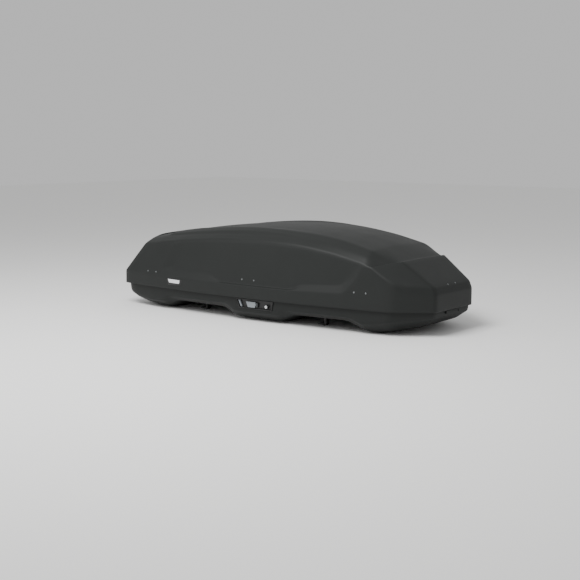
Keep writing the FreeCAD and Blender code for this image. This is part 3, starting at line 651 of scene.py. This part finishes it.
def trayCreases(columns, rows):
    sharp = traySharpness
    lines = [
        (ring(columns, 2, 0, noseMiddle), sharp["wallBreak"]),
        (ring(columns, 3, firstSide, noseMiddle), sharp["floorEdge"]),
        (columns[noseFace], sharp["noseFace"]),
        (columns[rearCorner][:3], sharp["rearCorner"]),
        (ring(columns, 0, 0, noseMiddle), sharp["rim"]),
    ]
    for k in trayNet["rampColumns"]:
        lines += [(columns[k][2:], sharp["ramp"]), (rows[k - rearCorner], sharp["ramp"])]
    return lines


lock = {   # outlines are (x along the wall, z), and depths run inwards from the tray's wall
    "middleX": 26.0,
    "outline": ((-118, 115.5), (118, 115.5), (109, 68), (-97, 68)),
    "hole": (-40.0, 30.0),             # depths of the cutter through the tray
    "tub": (-1.2, 16.0),
    "hollow": (-4.0, 13.0),
    "sheet": 3.0,
    "slot": (((-48, 96), (16, 96), (16, 80), (-48, 80)), 11.0, 18.0),
    "endStrip": (((-108, 109), (-97, 109), (-83, 74), (-91, 74)), 3.0, 12.9),
    "plate": (((-57, 104), (4, 104), (0, 74), (-45, 74)), 2.5, 9.5),
    "bridge": (((-30, 97), (12, 97), (12, 83), (-30, 83)), 6.0, 10.0),
    "neck": (((-42, 94), (-16, 94), (-16, 82), (-42, 82)), 9.0, 20.0),
    "grip": (((8, 102), (20, 100), (17, 78), (5, 76)), 3.5, 10.0),
    "rounding": {"endStrip": 1.4, "plate": 1.4, "bridge": 1.0, "neck": 0.6, "grip": 1.8},
}
lockTurn = -(sideY(lock["middleX"] + 1) - sideY(lock["middleX"] - 1)) / 2  # slope of the wall at the lock
lockY = -(sideY(lock["middleX"]) - trayInset)
lockCos = 1 / sqrt(1 + lockTurn ** 2)
lockSin = lockTurn * lockCos


def fromLock(p):  # from the lock's own frame to the box's
    return (lock["middleX"] + p[0] * lockCos - p[1] * lockSin, lockY + p[0] * lockSin + p[1] * lockCos, p[2])


def lockPrism(name, outline, y0, y1):
    start = [fromLock((x, y0, z)) for x, z in outline]
    push = tuple(a - b for a, b in zip(fromLock((0, y1, 0)), fromLock((0, y0, 0))))
    return prismObject(name, start, push)


def clawSlot(name):  # the slot in the floor that a claw slides in
    low, high = (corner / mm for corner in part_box(name))
    y, half = (low.y + high.y) / 2, trayNet["slotHalf"]
    x0, x1 = high.x - trayNet["slotLength"][0], high.x + trayNet["slotLength"][1]
    z0, z1 = trayNet["slotZ"]
    corners = [(x0, y - half, z0), (x1, y - half, z0), (x1, y + half, z0), (x0, y + half, z0)]
    return prismObject("slot", corners, (0, 0, z1 - z0))


def makeTray():
    columns = trayColumns()
    rows = trayRows(columns)
    piece = roundedOff("traySkin", netMesh("traySkin", columns, rows, trayCreases(columns, rows), True))
    thicken(piece, shape["wall"])
    tools = [lockPrism("lockHole", lock["outline"], *lock["hole"])]
    for place in ("rear", "front"):
        for side in ("near", "far"):
            tools.append(clawSlot("clamp_jaw_" + place + "_" + side))
    cutWith(piece, tools)
    return finishPiece(piece, absTray, "tray", "tray_plastic", "base_tray")


traySkin = makeTray()
print("tray made:", len(traySkin.data.polygons), "faces")


def softened(piece, width, segments=3):  # round the edges by a real radius in millimetres
    bevel = piece.modifiers.new("edges", "BEVEL")
    bevel.width = width * mm
    bevel.segments = segments
    bevel.limit_method = "ANGLE"
    bevel.angle_limit = radians(28)
    bevel.harden_normals = False
    settle(piece)
    weighted = piece.modifiers.new("shade", "WEIGHTED_NORMAL")
    weighted.keep_sharp = True
    return settle(piece)


def joined(name, pieces):  # several closed pieces as one object
    whole = bmesh.new()
    for piece in pieces:
        whole.from_mesh(piece.data)
        bpy.data.objects.remove(piece)
    mesh = bpy.data.meshes.new(name)
    whole.to_mesh(mesh)
    whole.free()
    for face in mesh.polygons:
        face.use_smooth = True
    return newObject(name, mesh)


def shrunk(outline, by):  # a four-cornered outline made smaller all round by one sheet
    (ax, az), (bx, bz), (cx, cz), (dx, dz) = outline
    return ((ax + 1.2 * by, az - by), (bx - by, bz - by), (cx - by, cz + by), (dx + by, dz + by))


def lockPiece(name, entry, segments=3):  # one of the lock's outlines as a block with rounded edges
    return softened(lockPrism(name, *lock[entry]), lock["rounding"][entry], segments)


def makeLock():
    tub = lockPrism("lockTub", lock["outline"], *lock["tub"])
    hollow = lockPrism("hollow", shrunk(lock["outline"], lock["sheet"]), *lock["hollow"])
    cutWith(tub, [hollow, lockPrism("slot", *lock["slot"])])
    for face in tub.data.polygons:
        face.use_smooth = False
    finishPiece(tub, nylonBlack, "tray", "black_plastic", "lock_housing")
    finishPiece(lockPiece("endStrip", "endStrip"), absSilver, "tray", "handle_plastic")
    handle = joined("slideHandle", [lockPiece("slideHandle", "plate"), lockPiece("bridge", "bridge", 2),
                                    lockPiece("neck", "neck", 2)])
    finishPiece(handle, absSilver, "lock_slide", "handle_plastic", "slide_handle")
    finishPiece(lockPiece("fingerGrip", "grip"), nylonKnob, "lock_slide", "handle_plastic")


makeLock()

key = {
    "place": (73.0, 0.0, 86.0),        # in the lock's own frame
    "core": ((0.6, 0.5), (0.6, 5.4), (0.0, 6.0), (0.0, 7.4), (0.6, 8), (19, 8), (19, 0.5)),
    "collar": ((3.2, 8.2), (1.0, 8.2), (0.3, 9), (0.3, 10.4), (0.9, 11), (6, 11), (6, 8.2)),
    "slit": (((72.1, 92), (73.9, 92), (73.9, 80), (72.1, 80)), -2.0, 3.0),
}


def roundPiece(name, centre, axis, profile, steps=48):  # a turned profile of (along, radius)
    way = Vector(axis).normalized()
    across = way.orthogonal().normalized()
    other = way.cross(across)
    mesh = bpy.data.meshes.new(name)
    points, faces = [], []
    for along, radius in profile:
        for k in range(steps):
            a = 2 * pi * k / steps
            points.append((Vector(centre) + way * along + (across * cos(a) + other * sin(a)) * radius) * mm)
    for start in range(0, (len(profile) - 1) * steps, steps):
        for k in range(steps):
            a, b = start + k, start + (k + 1) % steps
            faces.append((a, b, b + steps, a + steps))
    faces.append(tuple(range(steps))[::-1])
    faces.append(tuple(range((len(profile) - 1) * steps, len(profile) * steps)))
    mesh.from_pydata([list(p) for p in points], [], faces)
    facedOut(mesh)
    for face in mesh.polygons:
        face.use_smooth = len(face.vertices) == 4
    return newObject(name, mesh)


def makeKey():
    centre = fromLock(key["place"])
    way = [a - b for a, b in zip(fromLock((0, 1, 0)), fromLock((0, 0, 0)))]
    core = roundPiece("keyCylinder", centre, way, key["core"])
    cutWith(core, [lockPrism("keyway", *key["slit"])])
    finishPiece(core, lockChrome, "key", "lock_chrome", "key_cylinder")
    finishPiece(roundPiece("keyCollar", centre, way, key["collar"]), nylonBlack, "key", "black_plastic")


makeKey()
print("lock made")


def makeBadge():
    frameRadius, insertRadius = badge["rounding"]
    plate = badgePrism("badgeFrame", badge["outline"], badge["frameOut"], -badge["depth"])
    finishPiece(softened(plate, frameRadius, 2), nylonBlack, "lid", "badge_plastic", "blank_badge")
    insert = badgePrism("badgeInsert", badge["insert"], badge["insertOut"], badge["insertBack"])
    finishPiece(softened(insert, insertRadius, 2), badgeAbs, "lid", "badge_plastic")


makeBadge()
print("badge made")

rivets = {
    "headDiameter": 9.0,
    "headHeight": 2.0,
    "sideAt": ((-745, 205.0), (-677, 205.0), (-57, 215.5), (20, 215.5), (607, 204.0), (669, 204.0)),
    "noseAt": ((943.0, 34.0), (943.0, -34.0)),   # (x, y), and (x, z) in the line above
    "searchFrom": 600.0,               # the lid's surface is looked for from this far out
}


def rivetTree():
    tree = bpy.data.node_groups.new("rivetsOnSurface", "GeometryNodeTree")
    tree.interface.new_socket("Geometry", in_out="INPUT", socket_type="NodeSocketGeometry")
    for label in ("Head radius", "Head height"):
        tree.interface.new_socket(label, in_out="INPUT", socket_type="NodeSocketFloat")
    tree.interface.new_socket("Steel", in_out="INPUT", socket_type="NodeSocketMaterial")
    tree.interface.new_socket("Geometry", in_out="OUTPUT", socket_type="NodeSocketGeometry")
    given = addNode(tree, "NodeGroupInput").outputs
    ball = addNode(tree, "GeometryNodeMeshUVSphere", None, {"Segments": 24, "Rings": 12},
                   {"Radius": given["Head radius"]})
    ratio = addNode(tree, "ShaderNodeMath", {"operation": "DIVIDE"}, None,
                    {0: given["Head height"], 1: given["Head radius"]})
    squash = addNode(tree, "ShaderNodeCombineXYZ", None, {"X": 1.0, "Y": 1.0}, {"Z": ratio.outputs[0]})
    dome = addNode(tree, "GeometryNodeTransform", None, None,
                   {"Geometry": ball.outputs["Mesh"], "Scale": squash.outputs[0]})
    facing = addNode(tree, "GeometryNodeInputNamedAttribute", {"data_type": "FLOAT_VECTOR"},
                     {"Name": "facing"})
    turn = addNode(tree, "FunctionNodeAlignRotationToVector", {"axis": "Z"}, None,
                   {"Vector": facing.outputs["Attribute"]})
    placed = addNode(tree, "GeometryNodeInstanceOnPoints", None, None,
                     {"Points": given["Geometry"], "Instance": dome.outputs[0], "Rotation": turn.outputs[0]})
    real = addNode(tree, "GeometryNodeRealizeInstances", None, None, {"Geometry": placed.outputs[0]})
    steel = addNode(tree, "GeometryNodeSetMaterial", None, None,
                    {"Geometry": real.outputs[0], "Material": given["Steel"]})
    addNode(tree, "NodeGroupOutput", None, None, {"Geometry": steel.outputs[0]})
    return tree


def rivetPiece(name, hits, tree, node):
    mesh = bpy.data.meshes.new(name)
    mesh.from_pydata([list(place) for place, normal in hits], [], [])
    facing = mesh.attributes.new("facing", "FLOAT_VECTOR", "POINT")
    for item, (place, normal) in zip(facing.data, hits):
        item.vector = normal
    piece = newObject(name, mesh)
    modifier = piece.modifiers.new("rivets", "NODES")
    values = {"Head radius": rivets["headDiameter"] / 2 * mm, "Head height": rivets["headHeight"] * mm,
              "Steel": rivetSteel}
    for item in tree.interface.items_tree:
        if item.in_out == "INPUT" and item.name in values:
            modifier[item.identifier] = values[item.name]
    modifier.node_group = tree
    settle(piece)
    return finishPiece(piece, rivetSteel, "lid", "rivet_steel", node)


def makeRivets():
    work = bmesh.new()
    work.from_mesh(lidSurface)
    finder = BVHTree.FromBMesh(work)
    work.free()
    tree = rivetTree()
    far = rivets["searchFrom"]
    sideHits, noseHits = [], []
    for x, z in rivets["sideAt"]:
        for side in (-1, 1):
            hit = finder.ray_cast(Vector((x, side * far, z)) * mm, Vector((0, -side, 0)))
            sideHits.append(hit[:2])  # the place and the way that the surface faces there
    for x, y in rivets["noseAt"]:
        noseHits.append(finder.ray_cast(Vector((x, y, far)) * mm, Vector((0, 0, -1)))[:2])
    rivetPiece("sideRivets", sideHits, tree, "side_rivets")
    rivetPiece("noseRivets", noseHits, tree, "nose_rivets")


makeRivets()
print("rivets made")

stage = {   # metres, degrees and watts
    "target": (-0.0707, 0.0, 0.112),
    "azimuth": 39.87,
    "pitch": 8.58,
    "distance": 5.477,
    "lens": 62.069,                    # millimetres, with the sensor's width below
    "sensorWidth": 36.0,
    "floorHalf": 14.0,
    "floorColour": "#f8f8f7",
    "worldColour": "#ffffff",
    "worldStrength": 0.62,
    "lightsAim": (0.0, 0.0, 0.2),
    "lights": {   # place, size, power
        "high": ((0.3, -2.2, 3.2), (1.8, 1.8), 150.0),
        "leftFill": ((-2.2, -3.6, 1.8), (2.4, 1.4), 24.0),
    },
}


def makeFloor():
    mesh = bpy.data.meshes.new("floor")
    half = stage["floorHalf"]
    mesh.from_pydata([(-half, -half, 0), (half, -half, 0), (half, half, 0), (-half, half, 0)], [],
                     [(0, 1, 2, 3)])
    material, tree, place, shader = newMaterial("paleFloor")
    shader.inputs["Base Color"].default_value = linear(stage["floorColour"])
    shader.inputs["Roughness"].default_value = 0.9
    mesh.materials.append(material)
    newObject("floor", mesh)


def makeWorld():
    world = bpy.data.worlds.new("studio")
    world.use_nodes = True
    ground = world.node_tree.nodes["Background"]
    ground.inputs["Color"].default_value = linear(stage["worldColour"])
    ground.inputs["Strength"].default_value = stage["worldStrength"]
    bpy.context.scene.world = world


def areaLight(name, place, size, power):
    data = bpy.data.lights.new(name, "AREA")
    data.shape = "RECTANGLE"
    data.size, data.size_y = size
    data.energy = power
    lamp = newObject(name, data)
    lamp.location = place
    lamp.rotation_euler = (Vector(stage["lightsAim"]) - Vector(place)).to_track_quat("-Z", "Y").to_euler()


def makeCamera():
    azimuth, pitch = radians(stage["azimuth"]), radians(stage["pitch"])
    back = Vector((sin(azimuth) * cos(pitch), -cos(azimuth) * cos(pitch), sin(pitch)))
    data = bpy.data.cameras.new("camera")
    data.sensor_width = stage["sensorWidth"]
    data.lens = stage["lens"]
    camera = newObject("camera", data)
    camera.location = Vector(stage["target"]) + back * stage["distance"]
    camera.rotation_euler = (-back).to_track_quat("-Z", "Y").to_euler()
    bpy.context.scene.camera = camera


makeFloor()
makeWorld()
for lampName, (place, size, power) in stage["lights"].items():
    areaLight(lampName, place, size, power)
makeCamera()
print("stage made")
